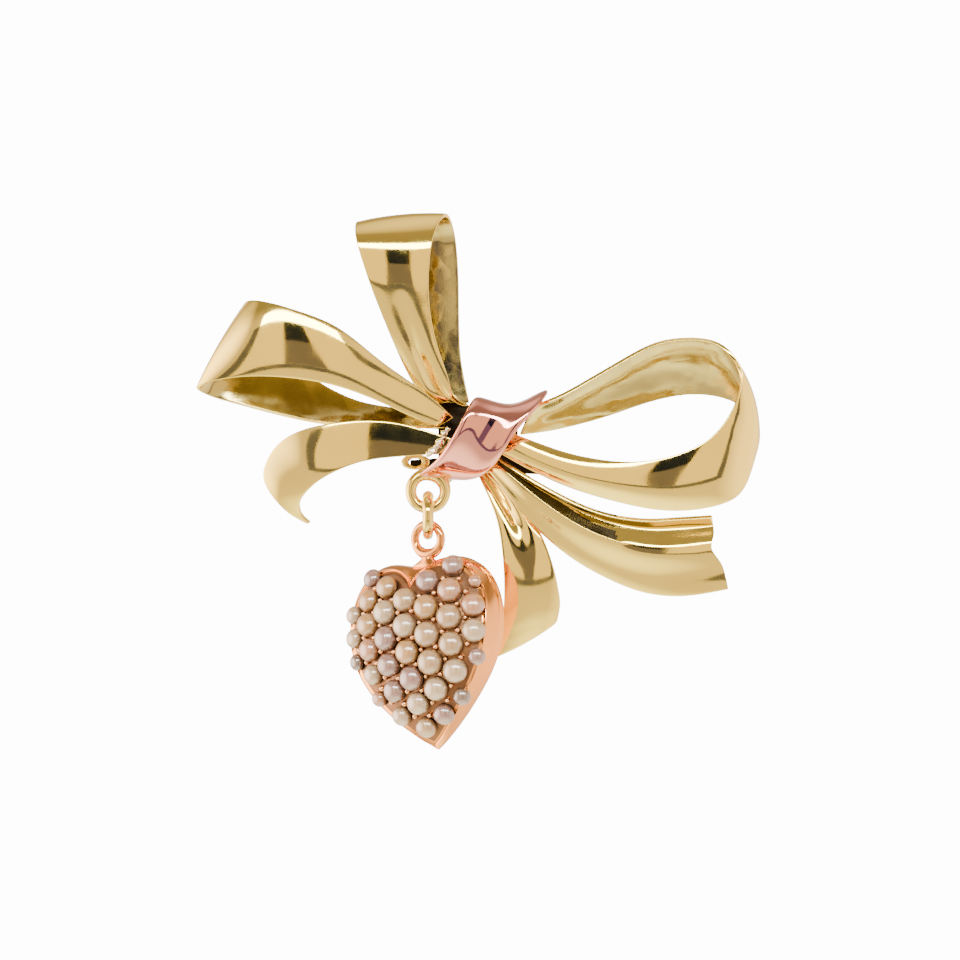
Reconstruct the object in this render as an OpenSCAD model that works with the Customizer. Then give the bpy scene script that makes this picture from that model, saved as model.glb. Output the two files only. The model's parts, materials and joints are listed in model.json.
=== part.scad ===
// Bow brooch of gold sheet ribbon with a hanging heart set with half pearls.
// Millimetres. +Z is up, the front faces -Y, and the origin is the middle of the pin stem.

/* [Sheet metal] */
// Thickness of the rolled gold sheet of the ribbon
sheet_t = 0.45; // [0.35:0.05:0.55]
// Thickness of the rose gold sheet of the knot
knot_t = 0.55; // [0.45:0.05:0.65]
// Clearance where pieces are soldered or set on the real brooch
seam_gap = 0.1; // [0.05:0.05:0.2]
// Height of the rounded swell across a strip
camber = 1.0; // [0.7:0.1:1.2]
// Depth of the flutes pressed along a strip
flute_d = 0.5; // [0.3:0.1:0.7]

/* [Left loop] */
// Reach of the left loop sideways from the knot
left_loop_reach = 28; // [26:0.5:30]
// Rise of the left loop above the knot
left_loop_rise = 13.6; // [13:0.2:14.4]
// Depth of the left loop from front to back
left_loop_depth = 6; // [5.5:0.25:6.5]

/* [Top loop] */
// Reach of the top loop sideways from the knot
top_loop_reach = 12.2; // [11.5:0.25:13]
// Rise of the top loop above the knot
top_loop_rise = 22; // [20:0.5:24]
// Depth of the top loop from front to back
top_loop_depth = 6; // [5.5:0.25:6.5]

/* [Right loop] */
// Reach of the right loop sideways from the knot
right_loop_reach = 28; // [26:0.5:30]
// Rise of the right loop above the knot
right_loop_rise = 10; // [9.5:0.25:11]
// Depth of the right loop from front to back
right_loop_depth = 7; // [6.5:0.25:7.5]

/* [Tails] */
// Reach of the left tail sideways from the knot
left_tail_reach = 21.5; // [20:0.5:23]
// Drop of the left tail below the knot
left_tail_drop = 8.6; // [8.2:0.2:9.4]
// Depth of the left tail from front to back
left_tail_depth = 5; // [4.5:0.25:5.5]
// Reach of the bottom tail sideways from the knot
low_tail_reach = 8.2; // [7.6:0.2:8.8]
// Drop of the bottom tail below the knot
low_tail_drop = 22; // [20:0.5:24]
// Depth of the bottom tail from front to back
low_tail_depth = 2.4; // [2:0.2:2.8]
// Reach of the right tail sideways from the knot
right_tail_reach = 25.2; // [24:0.4:27]
// Drop of the right tail below the knot
right_tail_drop = 16; // [15.5:0.25:17]
// Depth of the right tail from front to back
right_tail_depth = 5; // [4.5:0.25:5.5]

/* [Knot] */
// Half width of the knot at its widest point
knot_half_w = 7; // [6.6:0.1:7.4]
// Half height of the knot
knot_half_h = 4.6; // [4.3:0.1:4.9]
// Depth of the knot from front to back
knot_depth = 7.4; // [7:0.2:8]
// Middle of the knot, sideways from the middle of the pin
knot_x = -2.2; // [-3:0.2:-1.4]
// Middle of the knot above the pin
knot_z = 2.9; // [2.7:0.1:3.1]

/* [Pin fitting] */
// Length of the pin fitting
pin_len = 18; // [17:0.5:20]
// Diameter of the pin stem
stem_d = 0.7; // [0.5:0.1:0.9]
// Height of the bar that carries the pin
bar_h = 1.8; // [1.4:0.2:2]
// Thickness of the bar
bar_t = 0.8; // [0.6:0.1:1]
// Distance from the pin stem forward to the front of the bar
bar_front = 2.4; // [2.2:0.1:2.8]
// Width of the back plate under the knot
plate_w = 8; // [7:0.5:8.5]
// Height of the back plate under the knot
plate_h = 7.6; // [7:0.2:8]
// Thickness of the back plate
plate_t = 0.6; // [0.4:0.1:0.8]
// Outside diameter of the catch
catch_d = 2; // [1.8:0.1:2.2]
// Width of the catch and of the hinge block
catch_w = 1.6; // [1.2:0.2:2]

/* [Hanger ring and link] */
// Middle of the hanger ring, sideways from the knot
hanger_x = -5; // [-5.2:0.1:-4.8]
// Middle of the hanger ring below the knot
hanger_drop = 5.3; // [5.2:0.1:5.6]
// Middle of the hanger ring in front of the pin stem
hanger_out = 5.2; // [5:0.1:5.6]
// Radius of the middle of the hanger ring's wire
hanger_r = 1.65; // [1.6:0.05:1.8]
// Wire diameter of the hanger ring
hanger_wire = 1; // [0.9:0.05:1.1]
// Radius of the middle of the link's wire
link_r = 1.92; // [1.85:0.05:2.1]
// Wire diameter of the link
link_wire = 1.1; // [1:0.05:1.15]
// Play between rings that hang in each other
ring_play = 0.08; // [0.06:0.01:0.12]

/* [Heart] */
// Width of the heart
heart_w = 17.4; // [16.6:0.2:18]
// Height of the heart
heart_h = 19.5; // [18.9:0.2:20.1]
// Depth of the heart's edge at its two sides
heart_edge_d = 1.9; // [1.7:0.1:2.3]
// Radius of the domed face
face_r = 16; // [15:0.5:18]
// Radius of the domed back
back_r = 20; // [18:0.5:24]
// Turn of the heart about the vertical, its face to the left
heart_turn = 30; // [26:1:32]
// Lean of the heart in its own plane
heart_lean = 8; // [6:1:9]
// Distance of the middle of the heart below the middle of the bail
heart_drop = 11.4; // [11.2:0.1:11.8]
// Depth of the cleft behind the front of the heart's edge
cleft_d = 1.1; // [0.8:0.1:1.3]
// Radius of the middle of the bail's wire
bail_r = 1.5; // [1.45:0.05:1.6]
// Wire diameter of the bail
bail_wire = 0.84; // [0.76:0.04:0.88]
// Height of the neck between the bail and the heart
neck_h = 1.6; // [1.2:0.2:2]

/* [Pearls] */
// Diameter of the pearls in the middle of the face
pearl_d = 2.3; // [2:0.05:2.35]
// Distance between one pearl and the next down a column
row_step = 2.68; // [2.64:0.02:2.74]
// Distance between the columns of pearls
column_step = 2.35; // [2.3:0.01:2.4]

/* [Hidden] */
steps = 3;
round_fn = 96;
bead_fn = 64;
gold = [0.85, 0.77, 0.52];
rose = [0.88, 0.62, 0.52];
cream = [0.92, 0.87, 0.76];

// Sheets are measured forward from here, so that one lying on the back plate clears it
seat_y = -(bar_front + seam_gap + sheet_t / 2);
knot_mid = [knot_x, 0, knot_z];

// Rows of a strip run along it. Edge a is the first long edge and edge b the second one.
// Columns: a across, a up, a out, b across, b up, b out, swell, flute.
// Across, up and out are shares of the strip's reach, rise or drop, and depth.
left_loop_rows = [
    [0.09, 0.15, 0.46, 0.15, 0.08, 0.48, 0.10, 0.0],
    [0.18, 0.32, 0.57, 0.24, 0.16, 0.60, 0.20, 0.0],
    [0.34, 0.55, 0.74, 0.39, 0.30, 0.77, 0.35, 0.0],
    [0.50, 0.81, 0.93, 0.54, 0.40, 0.92, 0.55, 0.0],
    [0.66, 0.94, 1.00, 0.72, 0.45, 0.97, 0.60, 0.0],
    [0.77, 1.00, 0.88, 0.88, 0.44, 0.83, 0.50, 0.0],
    [0.825, 0.99, 0.56, 1.00, 0.375, 0.60, 0.25, 0.0],
    [0.81, 0.90, 0.28, 0.96, 0.31, 0.40, 0.20, 0.0],
    [0.71, 0.68, 0.10, 0.86, 0.25, 0.38, 0.20, 0.0],
    [0.59, 0.44, 0.04, 0.68, 0.155, 0.38, 0.20, 0.0],
    [0.44, 0.28, 0.04, 0.52, 0.10, 0.34, 0.20, 0.0],
    [0.30, 0.22, 0.04, 0.34, 0.09, 0.28, 0.10, 0.0],
    [0.12, 0.15, 0.10, 0.12, 0.07, 0.20, 0.00, 0.0],
];
top_loop_rows = [
    [0.08, 0.155, 0.34, 0.34, 0.17, 0.24, 0.00, 0.6],
    [0.20, 0.20, 0.43, 0.49, 0.23, 0.36, 0.05, 0.9],
    [0.25, 0.29, 0.54, 0.59, 0.32, 0.50, 0.10, 0.9],
    [0.35, 0.45, 0.71, 0.70, 0.45, 0.70, 0.20, 0.6],
    [0.40, 0.61, 0.88, 0.82, 0.61, 0.88, 0.28, 0.2],
    [0.40, 0.77, 1.00, 0.92, 0.76, 1.00, 0.35, 0.0],
    [0.36, 0.92, 0.90, 1.00, 0.91, 0.91, 0.35, 0.0],
    [0.26, 1.015, 0.53, 0.99, 0.975, 0.55, 0.35, 0.0],
    [0.19, 0.93, 0.20, 0.95, 0.89, 0.24, 0.35, 0.0],
    [0.16, 0.75, 0.08, 0.86, 0.70, 0.10, 0.30, 0.0],
    [0.155, 0.55, 0.04, 0.74, 0.50, 0.05, 0.20, 0.0],
    [0.14, 0.36, 0.04, 0.60, 0.33, 0.06, 0.10, 0.0],
    [0.07, 0.16, 0.06, 0.39, 0.16, 0.10, 0.00, 0.0],
];
right_loop_rows = [
    [0.10, 0.07, 0.60, 0.055, -0.10, 0.50, 0.40, 0.0],
    [0.21, -0.05, 0.69, 0.18, -0.30, 0.60, 0.60, 0.0],
    [0.34, -0.17, 0.79, 0.33, -0.49, 0.69, 0.70, 0.0],
    [0.50, -0.24, 0.90, 0.51, -0.64, 0.77, 0.65, 0.0],
    [0.64, -0.215, 0.98, 0.67, -0.72, 0.83, 0.60, 0.0],
    [0.76, -0.11, 0.98, 0.82, -0.69, 0.78, 0.60, 0.0],
    [0.84, 0.04, 0.94, 0.93, -0.56, 0.67, 0.60, 0.0],
    [0.90, 0.27, 0.89, 0.98, -0.23, 0.53, 0.60, 0.0],
    [0.935, 0.54, 0.87, 1.00, 0.05, 0.44, 0.50, 0.0],
    [0.915, 0.77, 0.82, 0.965, 0.27, 0.34, 0.50, 0.0],
    [0.845, 0.95, 0.78, 0.88, 0.40, 0.28, 0.50, 0.0],
    [0.735, 0.99, 0.74, 0.76, 0.44, 0.24, 0.50, 0.2],
    [0.615, 0.93, 0.70, 0.62, 0.37, 0.20, 0.40, 0.4],
    [0.46, 0.69, 0.64, 0.45, 0.21, 0.16, 0.30, 0.4],
    [0.305, 0.44, 0.56, 0.28, 0.09, 0.12, 0.20, 0.3],
    [0.20, 0.32, 0.50, 0.15, 0.04, 0.12, 0.10, 0.0],
];
left_tail_rows = [
    [0.12, 0.01, 0.80, 0.15, 0.185, 0.82, 0.05, 0.0],
    [0.33, -0.15, 0.81, 0.35, 0.215, 0.84, 0.08, 0.0],
    [0.49, -0.20, 0.81, 0.51, 0.26, 0.83, 0.12, 0.0],
    [0.66, -0.175, 0.72, 0.63, 0.355, 0.74, 0.22, 0.0],
    [0.82, -0.09, 0.52, 0.725, 0.475, 0.60, 0.35, 0.0],
    [0.93, 0.07, 0.32, 0.785, 0.595, 0.44, 0.35, 0.0],
    [0.995, 0.34, 0.16, 0.825, 0.72, 0.28, 0.30, 0.0],
    [0.985, 0.56, 0.08, 0.83, 0.815, 0.18, 0.20, 0.0],
    [0.90, 0.83, 0.05, 0.815, 0.90, 0.10, 0.10, 0.0],
    [0.795, 1.00, 0.04, 0.78, 0.975, 0.06, 0.00, 0.0],
];
low_tail_rows = [
    [-0.04, 0.14, 0.15, 0.15, 0.16, 0.15, 0.00, 0.4],
    [0.11, 0.255, 0.42, 0.38, 0.23, 0.34, 0.10, 0.8],
    [0.23, 0.37, 0.70, 0.60, 0.335, 0.60, 0.20, 0.8],
    [0.29, 0.49, 0.86, 0.79, 0.455, 0.84, 0.33, 0.3],
    [0.32, 0.62, 0.74, 0.915, 0.58, 0.80, 0.45, 0.0],
    [0.32, 0.75, 0.44, 0.975, 0.68, 0.54, 0.55, 0.0],
    [0.29, 0.88, 0.04, 1.00, 0.755, 0.24, 0.60, 0.0],
    [0.23, 1.00, -0.40, 0.96, 0.84, -0.10, 0.50, 0.0],
];
right_tail_rows = [
    [0.075, 0.115, 0.52, 0.04, 0.20, 0.44, 0.00, 0.3],
    [0.20, 0.245, 0.66, 0.115, 0.35, 0.54, 0.05, 0.8],
    [0.315, 0.345, 0.74, 0.205, 0.525, 0.56, 0.10, 1.0],
    [0.425, 0.425, 0.80, 0.335, 0.71, 0.56, 0.15, 1.1],
    [0.54, 0.48, 0.84, 0.475, 0.85, 0.56, 0.20, 1.2],
    [0.67, 0.505, 0.84, 0.65, 0.965, 0.58, 0.20, 1.3],
    [0.80, 0.495, 0.80, 0.82, 0.99, 0.58, 0.15, 1.3],
    [0.925, 0.485, 0.74, 0.995, 0.945, 0.56, 0.10, 1.3],
];
knot_rows = [
    [0.15, 0.65, 0.05, 0.70, 0.65, 0.05, 0.00, 0.0],
    [0.04, 0.86, 0.30, 0.90, 0.97, 0.32, -0.60, 0.3],
    [-0.02, 0.91, 0.60, 1.00, 1.04, 0.60, -1.20, 0.6],
    [-0.12, 0.67, 0.84, 0.92, 0.84, 0.84, -1.50, 0.9],
    [-0.26, 0.28, 0.97, 0.73, 0.48, 0.98, -1.30, 1.0],
    [-0.40, -0.13, 1.00, 0.52, 0.08, 1.00, -0.70, 1.0],
    [-0.57, -0.48, 0.95, 0.34, -0.34, 0.96, 0.10, 0.8],
    [-0.80, -0.72, 0.80, 0.11, -0.70, 0.82, 0.45, 0.4],
    [-0.92, -0.84, 0.62, -0.04, -0.86, 0.62, 0.20, 0.0],
];

// Height of the flutes at even steps from edge a to edge b
plain_flutes = [0, 0, 0, 0, 0, 0, 0, 0, 0];
groove_flutes = [0.4, 0.6, 0.4, -0.4, -1.0, -0.4, 0.4, 0.6, 0.4];
loop_flutes = [-0.6, 0.0, 0.5, 0.7, 0.5, -0.1, -0.7, -0.4, 0.2];
tail_flutes = [0.9, -0.9, -0.3, 0.9, 0.6, 0.15, -0.2, -0.25, -0.5];
knot_flutes = [0.3, 0.7, 0.5, -0.1, -0.4, -0.6, -0.7, -0.6, -0.5, -0.1, 0.5, 0.7, 0.4];

function mix(a, b, t) = a + (b - a) * t;
function unit(v) = v / norm(v);

// A smooth curve through four neighbouring rows
function blend(p, q, r, s, t) =
    (2 * q + (r - p) * t + (2 * p - 5 * q + 4 * r - s) * t * t
        + (3 * q - p - 3 * r + s) * t * t * t) / 2;

function refine(rows, n) =
    let (last = len(rows) - 1)
    [for (i = [0:last - 1], k = [0:n - 1])
        blend(rows[max(i - 1, 0)], rows[i], rows[i + 1], rows[min(i + 2, last)], k / n),
     rows[last]];

// A point of a strip: size is [reach, rise, depth], with a negative reach to the left
function strip_point(x, z, out, size) =
    knot_mid + [x * size[0], seat_y - out * size[2], z * size[1]];

// Points of a strip's middle surface, one list for each station
function strip_grid(rows, size, face, flutes) =
    let (
        fine = refine(rows, steps),
        last = len(fine) - 1,
        across = len(flutes) - 1,
        a = [for (r = fine) strip_point(r[0], r[1], r[2], size)],
        b = [for (r = fine) strip_point(r[3], r[4], r[5], size)],
        mid = [for (i = [0:last]) (a[i] + b[i]) / 2]
    )
    [for (i = [0:last])
        let (
            along = mid[min(i + 1, last)] - mid[max(i - 1, 0)],
            up = face * unit(cross(along, b[i] - a[i]))
        )
        [for (j = [0:across])
            let (v = j / across)
            mix(a[i], b[i], v)
                + up * (fine[i][6] * camber * 4 * v * (1 - v) + fine[i][7] * flute_d * flutes[j])]];

// The same grid moved half a thickness along its own normals
function shifted(grid, d) =
    let (n = len(grid) - 1, m = len(grid[0]) - 1)
    [for (i = [0:n], j = [0:m])
        let (
            along = grid[min(i + 1, n)][j] - grid[max(i - 1, 0)][j],
            over = grid[i][min(j + 1, m)] - grid[i][max(j - 1, 0)]
        )
        grid[i][j] + unit(cross(along, over)) * d];

function quad(p, q, r, s) = [[p, q, r], [p, r, s]];

// Faces of a closed sheet: its two sides, its two long edges and its two ends
function sheet_faces(n, m) =
    let (w = m + 1, low = (n + 1) * w)
    [
        for (i = [0:n - 1], j = [0:m - 1], f = quad(i * w + j, i * w + j + 1,
            (i + 1) * w + j + 1, (i + 1) * w + j)) f,
        for (i = [0:n - 1], j = [0:m - 1], f = quad(low + i * w + j, low + (i + 1) * w + j,
            low + (i + 1) * w + j + 1, low + i * w + j + 1)) f,
        for (i = [0:n - 1], f = quad(i * w, (i + 1) * w, low + (i + 1) * w, low + i * w)) f,
        for (i = [0:n - 1], f = quad((i + 1) * w + m, i * w + m,
            low + i * w + m, low + (i + 1) * w + m)) f,
        for (j = [0:m - 1], f = quad(j + 1, j, low + j, low + j + 1)) f,
        for (j = [0:m - 1], f = quad(n * w + j, n * w + j + 1,
            low + n * w + j + 1, low + n * w + j)) f,
    ];

// A strip of sheet metal through the rows of a table
module strip(rows, size, face, flutes, t = sheet_t) {
    grid = strip_grid(rows, size, face, flutes);
    polyhedron(
        points = concat(shifted(grid, t / 2), shifted(grid, -t / 2)),
        faces = sheet_faces(len(grid) - 1, len(flutes) - 1),
        convexity = 8
    );
}

module left_loop()
    color(gold) strip(left_loop_rows, [-left_loop_reach, left_loop_rise, left_loop_depth], 1, plain_flutes);

module top_loop()
    color(gold) strip(top_loop_rows, [-top_loop_reach, top_loop_rise, top_loop_depth], 1, groove_flutes);

module right_loop()
    color(gold) strip(right_loop_rows, [right_loop_reach, right_loop_rise, right_loop_depth], -1, loop_flutes);

module left_tail()
    color(gold) strip(left_tail_rows, [-left_tail_reach, -left_tail_drop, left_tail_depth], 1, plain_flutes);

module low_tail()
    color(gold) strip(low_tail_rows, [low_tail_reach, -low_tail_drop, low_tail_depth], 1, groove_flutes);

module right_tail()
    color(gold) strip(right_tail_rows, [right_tail_reach, -right_tail_drop, right_tail_depth], -1, tail_flutes);

module knot_band()
    color(rose) strip(knot_rows, [knot_half_w, knot_half_h, knot_depth], 1, knot_flutes, knot_t);

// Pin fitting: a plate and a bar at the back, a hinge block, a catch and the stem between them
module pin_stem() {
    taper = 3;
    body_len = pin_len - catch_w / 2 - taper;
    translate([pin_len / 2, 0, 0]) rotate([0, -90, 0]) {
        cylinder(h = body_len, d = stem_d, $fn = round_fn);
        translate([0, 0, body_len]) cylinder(h = taper, d1 = stem_d, d2 = stem_d / 3, $fn = round_fn);
    }
}

module catch_hook() {
    mouth = stem_d + 2 * seam_gap;
    over = catch_w / 4;
    translate([-pin_len / 2, 0, 0]) difference() {
        union() {
            rotate([0, 90, 0]) cylinder(h = catch_w, d = catch_d, $fn = round_fn);
            translate([0, -bar_front + bar_t / 2, -catch_d / 4])
                cube([catch_w, bar_front - bar_t / 2, catch_d / 2]);
        }
        translate([-over, 0, 0]) rotate([0, 90, 0])
            cylinder(h = catch_w + 2 * over, d = mouth, $fn = round_fn);
        translate([-over, -mouth / 2, -catch_d]) cube([catch_w + 2 * over, mouth, catch_d]);
    }
}

module pin_fitting() color(gold) {
    union() {
        translate([-pin_len / 2, -bar_front, -bar_h / 2]) cube([pin_len, bar_t, bar_h]);
        translate([knot_x - plate_w / 2, -bar_front, knot_z - plate_h / 2])
            cube([plate_w, plate_t, plate_h]);
        translate([pin_len / 2 - catch_w, -bar_front + bar_t / 2, -catch_d / 2])
            cube([catch_w, bar_front - bar_t / 2 + catch_d / 2, catch_d]);
        catch_hook();
        pin_stem();
    }
}

// Rings that hang in each other, worked out downward from the hanger ring
hanger_mid = [knot_x + hanger_x, -hanger_out, knot_z - hanger_drop];
link_top = hanger_mid.z - hanger_r + hanger_wire / 2 + ring_play;
link_mid = [hanger_mid.x, hanger_mid.y, link_top - link_r + link_wire / 2];
link_floor = link_mid.z - link_r + link_wire / 2;
bail_mid = [hanger_mid.x, hanger_mid.y, link_floor + ring_play - bail_r + bail_wire / 2];

module ring(r, wire)
    rotate_extrude($fn = round_fn) translate([r, 0]) circle(d = wire, $fn = bead_fn);

// Hanger ring with the stub that joins it to the bar
module hanger_ring() color(gold) {
    stub = hanger_wire * 0.9;
    top = hanger_mid.z + hanger_r;
    union() {
        translate(hanger_mid) rotate([90, 0, 0]) ring(hanger_r, hanger_wire);
        translate([hanger_mid.x, hanger_mid.y, top]) rotate([-90, 0, 0])
            cylinder(h = hanger_out - bar_front - seam_gap, d = stub, $fn = round_fn);
    }
}

module link() color(gold) translate(link_mid) rotate([0, 90, 0]) ring(link_r, link_wire);

// Outline of the right half of the heart: across and up as shares of half width and height
heart_half = [
    [0.00, 0.965], [0.12, 0.974], [0.28, 0.996], [0.47, 1.00], [0.68, 0.97], [0.86, 0.895],
    [0.965, 0.795], [1.00, 0.68], [0.97, 0.565], [0.885, 0.455], [0.75, 0.35], [0.54, 0.23],
    [0.31, 0.12], [0.12, 0.04], [0.00, 0.00],
];
// Cleft in the front of the heart, in the same shares
cleft_half = [[0.00, 0.875], [0.05, 0.905], [0.13, 0.95], [0.24, 0.985], [0.34, 1.02], [0.34, 1.1]];

heart_edge = refine(heart_half, 4);
heart_mid = [bail_mid.x, bail_mid.y, bail_mid.z - heart_drop];
// Middles of the spheres of the domed face and back
face_mid = sqrt(face_r * face_r - heart_w * heart_w / 4) - heart_edge_d / 2;
back_mid = heart_edge_d / 2 - sqrt(back_r * back_r - heart_w * heart_w / 4);

// Both halves of an outline given as shares for the right half
module mirrored(edge) {
    half = [for (p = edge) [p.x * heart_w / 2, (p.y - 0.5) * heart_h]];
    left = [for (i = [len(half) - 1:-1:0]) if (half[i].x > 0) [-half[i].x, half[i].y]];
    polygon(concat(half, left));
}

// Moves from the heart's own frame, where its face looks along -Y, to where it hangs
module hung() {
    translate(heart_mid) rotate([0, 0, -heart_turn]) rotate([0, -heart_lean, 0]) children();
}

module heart_case() color(rose) {
    foot = bail_mid.z - bail_r;
    union() {
        hung() difference() {
            intersection() {
                translate([0, heart_edge_d * 3, 0]) rotate([90, 0, 0])
                    linear_extrude(height = heart_edge_d * 6) mirrored(heart_edge);
                translate([0, face_mid, 0]) sphere(r = face_r, $fn = round_fn);
                translate([0, back_mid, 0]) sphere(r = back_r, $fn = round_fn);
            }
            translate([0, cleft_d - heart_edge_d, 0]) rotate([90, 0, 0])
                linear_extrude(height = heart_edge_d * 3) mirrored(cleft_half);
        }
        translate(bail_mid) rotate([90, 0, -heart_turn]) ring(bail_r, bail_wire);
        translate([bail_mid.x, bail_mid.y, foot - neck_h])
            cylinder(h = neck_h, d = bail_wire * 1.6, $fn = round_fn);
    }
}

// Columns of half pearls on the face, counted sideways from its middle.
// Columns of the table: number, top as a share of the height, spread down the column, sizes.
pearl_columns = [
    [-3, 0.262, 0.91, [0.80, 0.84, 0.71]],
    [-2, 0.456, 0.95, [0.83, 0.93, 1.02, 1.00, 0.87, 0.68]],
    [-1, 0.383, 1.00, [0.96, 1.05, 1.05, 1.00, 0.96, 0.84]],
    [0, 0.295, 0.99, [1.03, 1.03, 1.03, 1.02, 0.97, 0.92]],
    [1, 0.381, 1.03, [1.02, 1.07, 1.07, 1.07, 1.03, 0.90]],
    [2, 0.453, 1.015, [0.92, 1.05, 1.05, 1.05, 1.07, 0.76]],
    [3, 0.352, 0.965, [0.58, 1.02, 1.02, 0.74]],
];

// Each pearl as [turn sideways, turn upward, diameter], the turns in degrees about face_mid
pearls = [
    for (c = pearl_columns, i = [0:len(c[3]) - 1])
        let (
            side = c[0] * column_step / face_r * 180 / PI,
            up = (c[1] * heart_h - i * c[2] * row_step) / (face_r * cos(side)) * 180 / PI
        )
        [side, up, c[3][i] * pearl_d]
];

function pearl_name(i) = str("pearl_", i < 9 ? "0" : "", i + 1);

// A half pearl whose flat base lies on the face
module pearl(i) color(cream) {
    p = pearls[i];
    hung() translate([0, face_mid, 0]) rotate([-p[1], 0, 0]) rotate([0, 0, p[0]])
        translate([0, -face_r - seam_gap / 2, 0]) difference() {
            sphere(d = p[2], $fn = bead_fn);
            translate([-p[2], 0, -p[2]]) cube(2 * p[2]);
        }
}

left_loop();
top_loop();
right_loop();
left_tail();
low_tail();
right_tail();
knot_band();
pin_fitting();
hanger_ring();
link();
heart_case();
for (i = [0:len(pearls) - 1])
    pearl(i);
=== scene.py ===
import itertools
import json
import math
import random

import bmesh
import bpy
from mathutils import Matrix, Vector

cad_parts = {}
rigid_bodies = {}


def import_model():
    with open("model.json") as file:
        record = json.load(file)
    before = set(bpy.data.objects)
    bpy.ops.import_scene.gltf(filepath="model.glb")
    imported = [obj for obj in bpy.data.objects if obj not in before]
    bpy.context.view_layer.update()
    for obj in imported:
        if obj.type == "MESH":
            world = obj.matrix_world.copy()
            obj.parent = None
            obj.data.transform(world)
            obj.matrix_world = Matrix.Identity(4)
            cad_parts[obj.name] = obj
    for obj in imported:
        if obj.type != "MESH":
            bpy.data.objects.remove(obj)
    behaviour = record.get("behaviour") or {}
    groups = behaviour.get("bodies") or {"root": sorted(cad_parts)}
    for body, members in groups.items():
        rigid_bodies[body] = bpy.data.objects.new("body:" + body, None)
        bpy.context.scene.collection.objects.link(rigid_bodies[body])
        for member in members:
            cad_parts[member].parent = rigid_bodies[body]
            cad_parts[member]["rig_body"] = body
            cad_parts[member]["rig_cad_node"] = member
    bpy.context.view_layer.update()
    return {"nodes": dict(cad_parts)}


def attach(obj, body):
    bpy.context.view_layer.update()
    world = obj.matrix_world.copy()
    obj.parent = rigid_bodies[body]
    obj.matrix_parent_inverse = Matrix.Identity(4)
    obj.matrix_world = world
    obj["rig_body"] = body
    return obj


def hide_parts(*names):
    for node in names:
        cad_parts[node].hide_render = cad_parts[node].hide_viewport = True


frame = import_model()
cadNodes = frame["nodes"]
mm = 0.001
print("frame loaded:", len(cadNodes), "nodes")


# helpers
def deselectAll():
    bpy.ops.object.select_all(action="DESELECT")


def makeActive(piece):
    deselectAll()
    piece.select_set(True)
    bpy.context.view_layer.objects.active = piece


def editMode(piece, select="NONE"):
    makeActive(piece)
    bpy.ops.object.mode_set(mode="EDIT")
    bpy.ops.mesh.select_all(action="SELECT" if select == "ALL" else "DESELECT")


def objectMode():
    bpy.ops.object.mode_set(mode="OBJECT")


def addModifier(piece, kind, **settings):
    modifier = piece.modifiers.new(kind.title(), kind)
    for key, value in settings.items():
        setattr(modifier, key, value)
    return modifier


def applyModifiers(piece):
    makeActive(piece)
    for modifier in list(piece.modifiers):
        bpy.ops.object.modifier_apply(modifier=modifier.name)


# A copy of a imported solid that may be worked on, its loose triangles merged
def workedCopy(nodeName, pieceName):
    piece = cadNodes[nodeName].copy()
    piece.data = piece.data.copy()
    piece.name = pieceName
    piece.data.name = pieceName
    piece.parent = None
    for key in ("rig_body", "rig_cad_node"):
        if key in piece:
            del piece[key]
    bpy.context.scene.collection.objects.link(piece)
    piece.data.materials.clear()
    editMode(piece, "ALL")
    bpy.ops.mesh.customdata_custom_splitnormals_clear()
    bpy.ops.mesh.remove_doubles(threshold=0.002 * mm)
    objectMode()
    return piece


def finishPiece(piece, body, slot, *replaced):
    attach(piece, body)
    if replaced:
        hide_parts(*replaced)


# Vertices of a piece are moved by a function of their place, all in millimetres
def reshape(piece, move):
    for v in piece.data.vertices:
        v.co = Vector(move(v.co / mm)) * mm


# materials
def toLinear(colour):
    channels = [int(colour[i:i + 2], 16) / 255 for i in (1, 3, 5)]
    return [c / 12.92 if c <= 0.04045 else ((c + 0.055) / 1.055) ** 2.4 for c in channels] + [1.0]


def addNode(material, kind, inputs=None, **settings):
    node = material.node_tree.nodes.new(kind)
    for key, value in settings.items():
        setattr(node, key, value)
    for key, value in (inputs or {}).items():
        if isinstance(value, bpy.types.NodeSocket):
            material.node_tree.links.new(value, node.inputs[key])
        else:
            node.inputs[key].default_value = value
    return node


def newMaterial(name):
    material = bpy.data.materials.new(name)
    material.use_nodes = True
    material.node_tree.nodes.clear()
    return material


# Gold is a mirror with faint polishing lines and the slight waves of sheet raised by hand. Sizes of its
# patterns in millimetres; the lines are drawn far coarser than real ones, so that they show.
goldLook = {
    "cloud": 5.0, "smear": 1.5, "waves": 3.5, "lines": 0.18, "hammer": 1.9, "hollow": (0.1, 0.5),
    "smearRange": (0.3, 0.75), "roughRange": (0.6, 1.7),
    "darkPatchColour": "#17130F", "darkPatchRagged": 1.6, "darkPatchRough": 0.35,
}
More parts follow.
